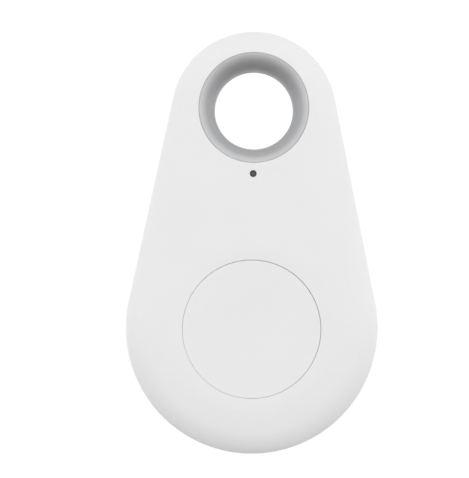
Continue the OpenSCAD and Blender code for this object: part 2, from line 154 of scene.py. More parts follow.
def axis_distance(place, keep):
    """How far a place is from an axis: its length once multiplied by keep, which is 0 along the axis."""
    tree = place.id_data
    across = tree.nodes.new("ShaderNodeVectorMath")
    across.operation = "MULTIPLY"
    across.inputs[1].default_value = keep
    tree.links.new(place, across.inputs[0])
    reach = tree.nodes.new("ShaderNodeVectorMath")
    reach.operation = "LENGTH"
    tree.links.new(across.outputs["Vector"], reach.inputs[0])
    return reach.outputs["Value"]


sheet_r, sheet_z, fade_start, fade_end = 170, -62, 40, 108
sheet_bm = bmesh.new()
bmesh.ops.create_circle(sheet_bm, cap_ends=True, segments=128, radius=sheet_r * MM,
                        matrix=Matrix.Translation((0, 0, sheet_z * MM)))
paper, paper_shader, nodes, links = new_material("studio_paper")
paper_shader.inputs["Base Color"].default_value = (0.62, 0.62, 0.62, 1)
paper_shader.inputs["Roughness"].default_value = 0.8
spot = nodes.new("ShaderNodeTexCoord")
reach = axis_distance(spot.outputs["Object"], (1, 1, 0))
fade = ranged(reach, (fade_start * MM, fade_end * MM), (1, 0), "SMOOTHSTEP")
links.new(fade, paper_shader.inputs["Alpha"])
floor_sheet = finish_mesh(sheet_bm, "floor_sheet", [paper])

# ---- Front shell
# One of the two moulded halves of the case, in satin white plastic. Its lip snaps into the rear half, its
# four pins are staked behind the board, and a collar grips the liner of the key-ring hole.
top_r, top_z = 10.2, -0.55
bottom_r, bottom_z = 15.55, -26.8
lean = asin((bottom_r - top_r) / (top_z - bottom_z))
side_run = Vector((sin(lean), 0, -cos(lean))) * (top_z - bottom_z) * cos(lean)
wall = 1.2
# The arcs of the skin's section: the centre as (inset, depth), the radius, and the first and last angle
SECTION = [((12, 0.35), 12, 0, 10), ((3.5307, 1.8434), 3.4, 10, 80), ((6.4133, -14.5044), 20, 80, 90)]
half_t = 5.4956
hole_r, hole_fillet, collar_r, collar_end = 6.67, 0.12, 7.12, 0.65
button_hole_r, button_fillet = 8.385, 0.07
dish_r, dish_depth = 9.8, 0.4
dish_sphere = (dish_r ** 2 + dish_depth ** 2) / (2 * dish_depth)
mid_z = -12.5


def inset_at(x, z):
    """How far a point of the face lies inside the outline."""
    across, up = abs(x), z - bottom_z
    along = -across * sin(lean) + up * cos(lean)
    if along < 0:
        return bottom_r - sqrt(across ** 2 + up ** 2)
    if along > side_run.length:
        return top_r - sqrt(across ** 2 + (z - top_z) ** 2)
    return bottom_r - across * cos(lean) - up * sin(lean)


def face_depth(inset, thick):
    """Depth of the skin at an inset from the outline, on its outside (thick 0) or inside (thick wall)."""
    for (centre, r, start, end) in SECTION:
        r = r - thick
        if inset <= centre[0] - r * cos(radians(end)):
            return centre[1] + sqrt(max(0, r ** 2 - min(r, centre[0] - inset) ** 2))
    return half_t - thick


def dished_depth(x, z):
    """The same for the front's outside, where a shallow dish meets it in a soft crease."""
    plain = face_depth(inset_at(x, z), 0)
    r = sqrt(x ** 2 + (z - bottom_z) ** 2)
    dish = half_t - dish_depth + dish_sphere - sqrt(dish_sphere ** 2 - r ** 2)
    soft = 0.05
    mix = max(0, 1 - abs(plain - dish) / soft)
    return min(plain, dish) - soft * mix * mix / 4


def rounded(depth, r, edge_r, fillet):
    """Depth with a fillet at a hole's edge."""
    out = r - edge_r
    if out >= fillet:
        return depth
    return depth - fillet + sqrt(max(0, fillet ** 2 - (fillet - max(0, out)) ** 2))


def half_profile(thick, start, end_inset):
    """Points of the skin's section, as (inset, depth), from a start depth to an inset."""
    points = [(thick, start)]
    for (centre, r, low, high) in SECTION:
        r = r - thick
        steps = 4 if r > 5 else 22
        for i in range(steps + 1):
            turn = radians(low + (high - low) * i / steps)
            point = (centre[0] - r * cos(turn), centre[1] + r * sin(turn))
            if point[0] < end_inset - 0.02 and point[0] >= points[-1][0] and point[1] > points[-1][1]:
                points.append(point)
    points.append((end_inset, face_depth(end_inset, thick)))
    return points


def extrude_loop(bm, edges):
    """Extrudes edges where they are. Gives the new points, and the new edges that join them."""
    geom = bmesh.ops.extrude_edge_only(bm, edges=edges)["geom"]
    verts = [g for g in geom if isinstance(g, bmesh.types.BMVert)]
    fresh = set(verts)
    return verts, [g for g in geom if isinstance(g, bmesh.types.BMEdge)
                   and g.verts[0] in fresh and g.verts[1] in fresh]


def sweep_rim(bm, profile, facing):
    """Carries a section round the outline: round the top end, down one side, round the bottom and up."""
    out = Vector((cos(lean), 0, sin(lean)))
    centre = Vector((0, 0, top_z))
    verts = [bm.verts.new((centre + (top_r - s) * out + Vector((0, -facing * d, 0))) * MM)
             for (s, d) in profile]
    edges = [bm.edges.new(pair) for pair in zip(verts, verts[1:])]
    side_steps = 40
    for (end_z, turn, steps, run) in [(top_z, pi - 2 * lean, 96, (-1, 1)),
                                      (bottom_z, pi + 2 * lean, 128, (-1, -1))]:
        spun = bmesh.ops.spin(bm, geom=verts + edges, cent=(0, 0, end_z * MM), axis=(0, -1, 0),
                              dvec=(0, 0, 0), angle=turn, steps=steps, use_merge=False, use_duplicate=False)
        edges = [g for g in spun["geom_last"] if isinstance(g, bmesh.types.BMEdge)]
        step = Vector((side_run.x * run[0], 0, side_run.z * run[1])) * MM / side_steps
        for i in range(side_steps):
            verts, edges = extrude_loop(bm, edges)
            bmesh.ops.translate(bm, verts=verts, vec=step)
    bmesh.ops.remove_doubles(bm, verts=bm.verts, dist=0.002 * MM)


def rim_loop(bm, inset, depth, facing):
    """The open edges at one end of the swept section."""
    def there(v):
        at_inset = abs(inset_at(v.co.x / MM, v.co.z / MM) - inset) < 0.01
        return at_inset and abs(v.co.y / MM + facing * depth) < 0.01
    return [e for e in bm.edges if e.is_boundary and there(e.verts[0]) and there(e.verts[1])]


def draw_in(bm, loop, centre_z, end_r, steps):
    """Extrudes a loop in rings towards a circle about the depth axis. Gives the last ring and the points."""
    made = []
    for k in range(steps):
        verts, loop = extrude_loop(bm, loop)
        for v in verts:
            x, z = v.co.x, v.co.z - centre_z * MM
            r = sqrt(x * x + z * z)
            goal = r + (end_r * MM - r) / (steps - k)
            v.co.x, v.co.z = x * goal / r, z * goal / r + centre_z * MM
        made += verts
    return loop, made


def fill_face(bm, loop, upper, lower, depth_at, facing):
    """Fills a skin inside its rim: rings round the key-ring hole and the button, which meet at a mid line."""
    rim = {v for e in loop for v in e.verts}
    right = min((v for v in rim if v.co.x > 0), key=lambda v: abs(v.co.z - mid_z * MM))
    left = min((v for v in rim if v.co.x < 0),
               key=lambda v: (v.co.z - right.co.z) ** 2 + (v.co.x + right.co.x) ** 2)
    level = (right.co.z + left.co.z) / 2
    above = [e for e in loop if (e.verts[0].co.z + e.verts[1].co.z) / 2 > level]
    below = [e for e in loop if (e.verts[0].co.z + e.verts[1].co.z) / 2 < level]
    mids, mid_line, count = [], [], 48
    last, start, run = right, right.co.copy(), left.co - right.co
    for i in range(1, count):
        spun = bmesh.ops.extrude_vert_indiv(bm, verts=[last])
        last = spun["verts"][0]
        last.co = start + run * i / count
        mids.append(last)
        mid_line.append(spun["edges"][0])
    mid_line.append(bm.edges.new((last, left)))
    made = list(mids)
    ends = []
    for (part, centre_z, rings) in [(above + mid_line, 0, upper), (below + mid_line, bottom_z, lower)]:
        for (end_r, steps) in rings:
            part, verts = draw_in(bm, part, centre_z, end_r, steps)
            made += verts
        ends.append(part)
    for v in made:
        v.co.y = -facing * depth_at(v.co.x / MM, v.co.z / MM) * MM
    return ends


def drop_loop(bm, loop, depth, r, centre_z, facing):
    """Extrudes a round loop to another radius and depth. Gives its new edges."""
    verts, loop = extrude_loop(bm, loop)
    for v in verts:
        x, z = v.co.x, v.co.z - centre_z * MM
        now = sqrt(x * x + z * z)
        v.co = Vector((x * r * MM / now, -facing * depth * MM, z * r * MM / now + centre_z * MM))
    return loop


def spin_profile(bm, points, x, z, facing=1, steps=96, closed=False):
    """Turns a profile of (radius, depth) about the depth axis through a point."""
    verts = [bm.verts.new(((x + r) * MM, -facing * d * MM, z * MM)) for (r, d) in points]
    edges = [bm.edges.new(pair) for pair in zip(verts, verts[1:])]
    if closed:
        edges.append(bm.edges.new((verts[-1], verts[0])))
    bmesh.ops.spin(bm, geom=verts + edges, cent=(x * MM, 0, z * MM), axis=(0, 1, 0), dvec=(0, 0, 0),
                   angle=2 * pi, steps=steps, use_merge=True, use_duplicate=False)


def soft_block(bm, centre, size, bevel, turn=0, segments=2):
    """A block with rounded edges: a centre and a size as (x, y, z), turned about the depth axis."""
    made = bmesh.ops.create_cube(bm, size=1)
    verts = made["verts"]
    bmesh.ops.scale(bm, verts=verts, vec=[n * MM for n in size])
    edges = list({e for v in verts for e in v.link_edges})
    faces = list({f for v in verts for f in v.link_faces})
    if bevel > 0:
        cut = bmesh.ops.bevel(bm, geom=edges, offset=bevel * MM, offset_type="OFFSET", segments=segments,
                              profile=0.5, affect="EDGES", material=-1)
        faces = list({f for v in cut["verts"] for f in v.link_faces})
    verts = list({v for f in faces for v in f.verts})
    bmesh.ops.rotate(bm, verts=verts, cent=(0, 0, 0), matrix=Matrix.Rotation(turn, 3, "Y"))
    bmesh.ops.translate(bm, verts=verts, vec=Vector(centre) * MM)
    return faces


grain = bpy.data.node_groups.new("moulded_grain", "ShaderNodeTree")
for (label, start) in [("Grain Scale", 5000), ("Mottle Scale", 160)]:
    socket = grain.interface.new_socket(name=label, in_out="INPUT", socket_type="NodeSocketFloat")
    socket.default_value = start
for label in ["Height", "Mottle"]:
    grain.interface.new_socket(name=label, in_out="OUTPUT", socket_type="NodeSocketFloat")
nodes, links = grain.nodes, grain.links
given = nodes.new("NodeGroupInput")
result = nodes.new("NodeGroupOutput")
spot = nodes.new("ShaderNodeTexCoord")
fine = nodes.new("ShaderNodeTexNoise")
fine.inputs["Detail"].default_value = 3
links.new(spot.outputs["Object"], fine.inputs["Vector"])
links.new(given.outputs["Grain Scale"], fine.inputs["Scale"])
links.new(fine.outputs["Fac"], result.inputs["Height"])
broad = nodes.new("ShaderNodeTexNoise")
broad.inputs["Detail"].default_value = 4
broad.inputs["Roughness"].default_value = 0.6
links.new(spot.outputs["Object"], broad.inputs["Vector"])
links.new(given.outputs["Mottle Scale"], broad.inputs["Scale"])
links.new(broad.outputs["Fac"], result.inputs["Mottle"])


def raised(shader, height, strength, depth):
    """Gives a shader relief from a node's output."""
    tree = shader.id_data
    relief = tree.nodes.new("ShaderNodeBump")
    relief.inputs["Strength"].default_value = strength
    relief.inputs["Distance"].default_value = depth * MM
    tree.links.new(height, relief.inputs["Height"])
    tree.links.new(relief.outputs["Normal"], shader.inputs["Normal"])


def dress(shader, texture, dark, light, rough):
    """Gives a shader its colour and gloss from a texture's mottle."""
    links = shader.id_data.links
    links.new(ramped(texture.outputs["Mottle"], [(0.3, dark), (0.7, light)]), shader.inputs["Base Color"])
    links.new(ranged(texture.outputs["Mottle"], (0, 1), rough), shader.inputs["Roughness"])


def grained_material(name, dark, light, rough, grain_scale, mottle_scale, bump, metallic=0):
    """Plastic, ceramic or plain metal, with a grain in relief and a slight mottle in colour and gloss."""
    material, shader, nodes = new_material(name)[:3]
    texture = nodes.new("ShaderNodeGroup")
    texture.node_tree = grain
    texture.inputs["Grain Scale"].default_value = grain_scale
    texture.inputs["Mottle Scale"].default_value = mottle_scale
    dress(shader, texture, dark, light, rough)
    raised(shader, texture.outputs["Height"], bump, 0.02)
    shader.inputs["Metallic"].default_value = metallic
    return material


case_white = grained_material("case_white", (0.812, 0.812, 0.814), (0.828, 0.828, 0.828), (0.42, 0.56),
                              4500, 150, 0.25)

front_bm = bmesh.new()
front_ring, front_inner_ring = 2.5, 2.2
front_rim = half_profile(wall, 0.35, front_inner_ring)[::-1] + [
    (wall, -0.9), (1.12, -1), (0.75, -1), (0.65, -0.9), (0.65, 0), (0.06, 0), (0, 0.06)
    ] + half_profile(0, 0.35, front_ring)
sweep_rim(front_bm, front_rim, 1)
outer_loop = rim_loop(front_bm, front_ring, face_depth(front_ring, 0), 1)
inner_loop = rim_loop(front_bm, front_inner_ring, face_depth(front_inner_ring, wall), 1)


def front_outside(x, z):
    """Depth of the front's outside, with fillets at its two large holes."""
    depth = dished_depth(x, z)
    depth = rounded(depth, sqrt(x * x + z * z), hole_r, hole_fillet)
    return rounded(depth, sqrt(x * x + (z - bottom_z) ** 2), button_hole_r, button_fillet)


# The rings of faces that close in on each hole, as (radius they end at, how many)
hole_rings = [(hole_r + 0.4, 10), (hole_r + hole_fillet, 2), (hole_r, 5)]
button_rings = [(dish_r + 0.6, 14), (dish_r - 0.6, 10), (button_hole_r + 0.1, 4), (button_hole_r, 5)]
outer_ends = fill_face(front_bm, outer_loop, hole_rings, button_rings, front_outside, 1)
inner_ends = fill_face(front_bm, inner_loop, [(collar_r, 8)], [(button_hole_r, 14)],
                       lambda x, z: face_depth(inset_at(x, z), wall), 1)
collar_loop = drop_loop(front_bm, outer_ends[0], collar_end, hole_r, 0, 1)
collar_loop = drop_loop(front_bm, collar_loop, collar_end, collar_r, 0, 1)
bmesh.ops.bridge_loops(front_bm, edges=collar_loop + inner_ends[0])
bmesh.ops.bridge_loops(front_bm, edges=outer_ends[1] + inner_ends[1])

# The hole for the status light is opened in the finished face, and its edge is carried down into the wall.
# Behind it stands the round well that holds the light guide.
light_z, light_r, patch_r = -8, 0.42, 0.8
light_place = Vector((0, 0, light_z * MM))
near = [f for f in front_bm.faces if f.calc_center_median().y < -4.6 * MM
        and (f.calc_center_median() * Vector((1, 0, 1)) - light_place).length < (patch_r - 0.08) * MM]
bmesh.ops.delete(front_bm, geom=near, context="FACES")
torn = [e for e in front_bm.edges if e.is_boundary]
edge_points = {v for e in torn for v in e.verts}
for v in edge_points:
    out = (v.co - light_place) * Vector((1, 0, 1))
    v.co = light_place + out.normalized() * patch_r * MM
    v.co.y = -front_outside(v.co.x / MM, v.co.z / MM) * MM
for (r, d) in [(0.62, 0), (0.51, 0), (0.46, 0.01), (0.43, 0.04), (light_r, 0.09), (light_r, wall - 0.06)]:
    torn = drop_loop(front_bm, torn, dished_depth(0, light_z) - d, r, light_z, 1)
    if r > 0.5:
        for v in {v for e in torn for v in e.verts}:
            v.co.y = -front_outside(v.co.x / MM, v.co.z / MM) * MM
bmesh.ops.edgeloop_fill(front_bm, edges=torn)
well_r, well_out_r, well_start, well_end = 0.9, 1.3, 4.4, 2.1
well_line = [(well_r, well_start), (well_r, well_end), (well_out_r, well_end), (well_out_r, well_start)]
spin_profile(front_bm, well_line, 0, light_z, steps=48, closed=True)

# Board pins, with a boss in front of the board and a domed staked head behind it
board_front, board_back = 1.2, 0.4
boss_r, pin_r, head_r = 1.1, 0.5, 0.85
pin_line = [(0, 4.5), (boss_r, 4.4), (boss_r, board_front + 0.05), (boss_r - 0.05, board_front),
            (pin_r, board_front), (pin_r, board_back), (head_r, board_back), (head_r, 0.25),
            (0.78, 0.12), (0.62, 0.04), (0.35, 0.0), (0, 0.0)]
for (x, z) in [(9, -13.5), (-9, -13.5), (7.2, -37.1), (-7.2, -37.1)]:
    spin_profile(front_bm, pin_line, x, z, steps=32)

# Snap beads on the lip: a short rounded bar near each end of the straight sides
bead_shares, bead_length, bead_inset = (0.2, 0.8), 5, 0.62
bead_reach = top_r - bead_inset
for side in (1, -1):
    for share in bead_shares:
        foot = Vector((cos(lean) * bead_reach, 0, top_z + sin(lean) * bead_reach)) + side_run * share
        soft_block(front_bm, (side * foot.x, 0.6, foot.z), (0.24, 0.3, bead_length), 0.07, turn=-side * lean)

front_piece = finish_mesh(front_bm, "front_case", [case_white])
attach(front_piece, "housing")
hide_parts("front_shell")

# ---- Rear shell
# The other moulded half: plain outside, rebated for the front's lip, with pockets for its beads and a notch
# for a fingernail at the bottom of the seam.
rear_bm = bmesh.new()
rear_ring, rear_inner_ring = 2.5, 2.2
rebate, notch_half, notch_depth = 0.6, 3.7, 0.9
rear_rim = half_profile(wall, 1.1, rear_inner_ring)[::-1] + [
    (rebate, 1.1), (rebate, 0.95), (rebate, 0.85), (rebate, 0.35), (rebate, 0.25), (rebate, 0.05),
    (rebate - 0.05, 0), (0.06, 0), (0, 0.06)] + half_profile(0, 0.35, rear_ring)
sweep_rim(rear_bm, rear_rim, -1)
outer_loop = rim_loop(rear_bm, rear_ring, face_depth(rear_ring, 0), -1)
inner_loop = rim_loop(rear_bm, rear_inner_ring, face_depth(rear_inner_ring, wall), -1)


def rear_outside(x, z):
    """Depth of the rear's outside, with a fillet at the key-ring hole."""
    return rounded(face_depth(inset_at(x, z), 0), sqrt(x * x + z * z), hole_r, hole_fillet)


outer_ends = fill_face(rear_bm, outer_loop, hole_rings, [(9, 12), (4, 6), (0.4, 4)], rear_outside, -1)
inner_ends = fill_face(rear_bm, inner_loop, [(collar_r, 8)], [(9, 10), (4, 6), (0.4, 4)],
                       lambda x, z: face_depth(inset_at(x, z), wall), -1)
collar_loop = drop_loop(rear_bm, outer_ends[0], collar_end, hole_r, 0, -1)
collar_loop = drop_loop(rear_bm, collar_loop, collar_end, collar_r, 0, -1)
bmesh.ops.bridge_loops(rear_bm, edges=collar_loop + inner_ends[0])
for centre_loop in (outer_ends[1], inner_ends[1]):
    bmesh.ops.edgeloop_fill(rear_bm, edges=centre_loop)
for v in rear_bm.verts:
    x, d, z = v.co.x / MM, v.co.y / MM, v.co.z / MM
    share = (Vector((abs(x), 0, z)) - Vector((0, 0, top_z))).dot(side_run.normalized()) / side_run.length
    if 0.3 < d < 0.9 and abs(inset_at(x, z) - rebate) < 0.01:
        for place in bead_shares:
            if abs(share - place) * side_run.length < bead_length / 2 + 0.1:
                v.co += Vector((cos(lean) * (1 if x > 0 else -1), 0, sin(lean))) * 0.15 * MM
    if z < bottom_z and abs(x) < 4 and d < 0.95 and inset_at(x, z) < rebate + 0.01:
        bite = notch_depth * min(1, max(0, (notch_half - abs(x)) / 0.5))
        v.co.y = max(d, bite) * MM
rear_piece = finish_mesh(rear_bm, "rear_case", [case_white])
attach(rear_piece, "cover")
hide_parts("rear_shell")

# ---- Ring liner
# A grey moulded eyelet with a bell mouth at each face. Its flange is caught between the two shells' collars.
# Its colour is painted darker towards its throat and darkest at its top, where a dark brown is mixed in. This
# is painted shade: the throat's shade, and the shade of the top wall, which faces down away from the light
# above.
throat_r, throat_half, mouth_r, liner_d = 4.85, 0.8, 6.65, 5.1956


def feed(socket, value):
    """Gives a node's input another node's output, or a plain value."""
    if isinstance(value, bpy.types.NodeSocket):
        socket.id_data.links.new(value, socket)
    else:
        socket.default_value = value


def maths(operation, first, second=0):
    """Works on a node's output, with a second output or a number."""
    node = first.id_data.nodes.new("ShaderNodeMath")
    node.operation = operation
    feed(node.inputs[0], first)
    feed(node.inputs[1], second)
    return node.outputs[0]


def mixed(nodes, factor, under, over, blend="MIX"):
    """Lays one colour over another by a factor. Each of the three is a node's output or a plain value."""
    node = nodes.new("ShaderNodeMix")
    node.data_type = "RGBA"
    node.blend_type = blend
    feed(node.inputs["Factor"], factor)
    feed(node.inputs[6], under)
    feed(node.inputs[7], over)
    return node.outputs[2]


liner_grey = grained_material("liner_grey", (0.94, 0.94, 0.94), (1, 1, 1), (0.30, 0.42), 5000, 220, 0.2)
nodes, links = liner_grey.node_tree.nodes, liner_grey.node_tree.links
spot = nodes.new("ShaderNodeTexCoord")
parts = nodes.new("ShaderNodeSeparateXYZ")
links.new(spot.outputs["Object"], parts.inputs[0])
# Painted shade: the liner's grey is painted darker towards the throat, where the hole lies in shade.
painted_throat_shade_fac = ranged(axis_distance(spot.outputs["Object"], (1, 0, 1)), (throat_r * MM, mouth_r * MM))
painted_throat_shade_colour = ramped(painted_throat_shade_fac, [(0, (0.25, 0.253, 0.263)), (0.35, (0.485, 0.489, 0.50)), (1, (0.615, 0.618, 0.625))])
mottle_and_painted_shade = mixed(nodes, 1, painted_throat_shade_colour, nodes["Color Ramp"].outputs["Color"], "MULTIPLY")
# Painted shade: the top of the throat is mixed towards dark brown, standing in for the shade on the top wall,
# which faces down away from the light above.
top_shade_height = ranged(parts.outputs["Z"], (1 * MM, throat_r * MM))
painted_top_shade_mask = maths("MULTIPLY", top_shade_height, ranged(painted_throat_shade_fac, (0, 1), (0.4, 0.13)))
liner_painted_shade_colour = mixed(nodes, painted_top_shade_mask, mottle_and_painted_shade, (0.09, 0.085, 0.08, 1))
links.new(liner_painted_shade_colour, nodes["Principled BSDF"].inputs["Base Color"])
liner_bm = bmesh.new()
mouth = [(mouth_r - (mouth_r - throat_r) * cos(radians(3 * i)),
          throat_half + (liner_d - throat_half) * sin(radians(3 * i))) for i in range(30)]
half = [(throat_r, throat_half * i / 4) for i in range(4)] + mouth + [
    (mouth_r - 0.04, liner_d - 0.01), (mouth_r, liner_d - 0.07), (mouth_r, 0.64), (mouth_r + 0.04, 0.6),
    (7.15, 0.6), (7.2, 0.55)]
spin_profile(liner_bm, half + [(r, -d) for (r, d) in half[:0:-1]], 0, 0, steps=192, closed=True)
liner_piece = finish_mesh(liner_bm, "ring_eyelet", [liner_grey])
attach(liner_piece, "housing")
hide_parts("ring_liner")

# ---- Light guide
# A smoky clear rod between the status light and the small hole below the liner: a push fit in the well.
guide_smoke = grained_material("guide_smoke", (0.085, 0.075, 0.068), (0.12, 0.108, 0.098), (0.25, 0.4),
                               9000, 1500, 0.1)
tip_r, rod_r, rod_end = 0.37, 0.85, 1.86
guide_bm = bmesh.new()
guide_line = [(0, 5.03), (0.2, 5.01), (0.32, 4.96), (tip_r, 4.88), (tip_r, 3.95), (rod_r - 0.05, 3.9),
              (rod_r, 3.85), (rod_r, rod_end + 0.09), (rod_r - 0.05, rod_end), (0, rod_end)]
spin_profile(guide_bm, guide_line, 0, light_z, steps=48)
guide_piece = finish_mesh(guide_bm, "status_guide", [guide_smoke])
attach(guide_piece, "housing")
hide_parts("light_guide")

# ---- Button
# A round dished cap in the case's plastic. A rim behind the wall keeps it in, and its post works the switch.
# It rests a hair off centre in its hole, so the gap shows widest at the upper right.
button_bm = bmesh.new()
button_r, rim_r, rim_d, floor_d = 8.355, 8.95, 4.2456, 4.0956
flat_r, off_centre = button_r - 0.08, -0.0127
skirt_r, post_r, post_end = 7.2, 1.6, 3.0
face_line = [(flat_r * i / 40, dished_depth(0, bottom_z + flat_r * i / 40)) for i in range(41)]
edge_d = dished_depth(0, bottom_z + button_r)
face_line += [(button_r - 0.04, edge_d - 0.008), (button_r - 0.015, edge_d - 0.025),
              (button_r - 0.003, edge_d - 0.05), (button_r, edge_d - 0.09)]
spin_profile(button_bm, face_line + [
    (button_r, rim_d), (rim_r - 0.05, rim_d), (rim_r, rim_d - 0.05), (rim_r, rim_d - 0.45),
    (rim_r - 0.05, rim_d - 0.5), (skirt_r, rim_d - 0.5), (skirt_r, floor_d), (post_r, floor_d),
    (post_r, post_end + 0.05), (post_r - 0.05, post_end), (0, post_end)],
    off_centre, bottom_z + off_centre, steps=192)
for k in range(6):
    turn = k * pi / 3
    rib = Vector((cos(turn), 0, sin(turn))) * (skirt_r + post_r) / 2
    soft_block(button_bm, (rib.x, -3.99, bottom_z + rib.z), (5.7, 0.3, 0.7), 0.05, turn=-turn)
button_piece = finish_mesh(button_bm, "push_button", [case_white])
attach(button_piece, "button")
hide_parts("button_cap")

# ---- Circuit board
# Glass-laminate board with a green solder mask over its copper tracks and plated vias. It sits on four
# bosses of the front shell, and their pins are staked over behind it.
def finish_node(name, material):
    """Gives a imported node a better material."""
    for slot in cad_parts[name].material_slots:
        slot.material = material


mask_green = grained_material("mask_green", (0.012, 0.085, 0.035), (0.02, 0.115, 0.05), (0.18, 0.30),
                              2500, 260, 0.15)
nodes, links = mask_green.node_tree.nodes, mask_green.node_tree.links
spot = nodes.new("ShaderNodeTexCoord")
patch = nodes.new("ShaderNodeVectorMath")
patch.operation = "SNAP"
patch.inputs[1].default_value = (2.1 * MM, 10 * MM, 1.4 * MM)
links.new(spot.outputs["Object"], patch.inputs[0])
choice = nodes.new("ShaderNodeTexWhiteNoise")
choice.noise_dimensions = "3D"
links.new(patch.outputs["Vector"], choice.inputs["Vector"])
runs = []
for (way, low, high) in [("Z", 0.5, 1.01), ("X", -0.01, 0.3)]:
    bands = nodes.new("ShaderNodeTexWave")
    bands.wave_type = "BANDS"
    bands.bands_direction = way
    bands.inputs["Scale"].default_value = 650
    links.new(spot.outputs["Object"], bands.inputs["Vector"])
    line = maths("GREATER_THAN", bands.outputs["Fac"], 0.72)
    over = maths("GREATER_THAN", choice.outputs["Value"], low)
    under = maths("LESS_THAN", choice.outputs["Value"], high)
    runs.append(maths("MULTIPLY", maths("MULTIPLY", over, under), line))
on_track = maths("MAXIMUM", *runs)
vias = nodes.new("ShaderNodeTexVoronoi")
vias.inputs["Scale"].default_value = 330
vias.inputs["Randomness"].default_value = 0.8
links.new(spot.outputs["Object"], vias.inputs["Vector"])
on_via = maths("LESS_THAN", vias.outputs["Distance"], 0.07)
skin = nodes.new("ShaderNodeNewGeometry")
normal_parts = nodes.new("ShaderNodeSeparateXYZ")
links.new(skin.outputs["True Normal"], normal_parts.inputs[0])
is_face = maths("GREATER_THAN", maths("ABSOLUTE", normal_parts.outputs["Y"]), 0.5)
colour = mixed(nodes, on_track, nodes["Color Ramp"].outputs["Color"], (0.035, 0.19, 0.085, 1))
colour = mixed(nodes, on_via, colour, (0.62, 0.42, 0.14, 1))
colour = mixed(nodes, is_face, (0.42, 0.40, 0.20, 1), colour)
links.new(colour, nodes["Principled BSDF"].inputs["Base Color"])
finish_node("circuit_board", mask_green)

# ---- Aerial and test pads
# Copper left bare of solder mask and plated with gold, etched with the board's other tracks.
plated_gold = grained_material("plated_gold", (0.72, 0.47, 0.15), (0.86, 0.62, 0.24), (0.22, 0.38),
                               7000, 900, 0.25, metallic=1)
finish_node("antenna_trace", plated_gold)
finish_node("test_pads", plated_gold)

# ---- Radio chip
# Moulded black resin over a lead frame, with a round dimple that marks its first leg, soldered to the board.
chip_black = grained_material("chip_black", (0.012, 0.012, 0.013), (0.028, 0.028, 0.03), (0.42, 0.6),
                              9000, 900, 0.5)
finish_node("bluetooth_chip", chip_black)

# ---- Crystals
# Quartz crystals in ceramic trays, each closed by a seam-welded lid of nickel-plated steel.
brush = bpy.data.node_groups.new("brush_marks", "ShaderNodeTree")
brush.interface.new_socket(name="Vector", in_out="INPUT", socket_type="NodeSocketVector")
socket = brush.interface.new_socket(name="Scale", in_out="INPUT", socket_type="NodeSocketFloat")
socket.default_value = 1
for label in ["Height", "Mottle"]:
    brush.interface.new_socket(name=label, in_out="OUTPUT", socket_type="NodeSocketFloat")
given = brush.nodes.new("NodeGroupInput")
result = brush.nodes.new("NodeGroupOutput")
for (label, detail) in [("Height", 2), ("Mottle", 5)]:
    marks = brush.nodes.new("ShaderNodeTexNoise")
    marks.inputs["Detail"].default_value = detail
    brush.links.new(given.outputs["Vector"], marks.inputs["Vector"])
    brush.links.new(given.outputs["Scale"], marks.inputs["Scale"])
    brush.links.new(marks.outputs["Fac"], result.inputs[label])


def brushed_metal(name, dark, light, rough, stretch, centre=None):
    """Sheet metal with fine marks drawn along it, or turned round a centre (x, z) where one is given."""
    material, shader, nodes, links = new_material(name)
    spot = nodes.new("ShaderNodeTexCoord")
    place = nodes.new("ShaderNodeMapping")
    links.new(spot.outputs["Object"], place.inputs["Vector"])
    vector = place.outputs["Vector"]
    if centre is None:
        place.inputs["Scale"].default_value = stretch
    else:
        place.inputs["Location"].default_value = (-centre[0] * MM, 0, -centre[1] * MM)
        rings = nodes.new("ShaderNodeVectorMath")
        rings.operation = "MULTIPLY_ADD"
        rings.inputs[1].default_value = stretch
        links.new(vector, rings.inputs[0])
        radius = nodes.new("ShaderNodeCombineXYZ")
        links.new(maths("MULTIPLY", axis_distance(vector, (1, 0, 1)), 9000), radius.inputs["Y"])
        links.new(radius.outputs[0], rings.inputs[2])
        vector = rings.outputs["Vector"]
    texture = nodes.new("ShaderNodeGroup")
    texture.node_tree = brush
    texture.inputs["Scale"].default_value = 1
    links.new(vector, texture.inputs["Vector"])
    dress(shader, texture, dark, light, rough)
    raised(shader, texture.outputs["Height"], 0.12, 0.01)
    shader.inputs["Metallic"].default_value = 1
    return material


crystal_lid = brushed_metal("crystal_lid", (0.55, 0.55, 0.52), (0.74, 0.74, 0.71), (0.22, 0.36),
                            (900, 900, 9000))
finish_node("main_crystal", crystal_lid)
finish_node("clock_crystal", crystal_lid)

# ---- Status light
# A light-emitting chip on a white base under clear yellowish resin, below the light guide.
lamp_resin = grained_material("lamp_resin", (0.80, 0.74, 0.50), (0.92, 0.87, 0.66), (0.08, 0.18),
                              9000, 1500, 0.1)
finish_node("status_led", lamp_resin)

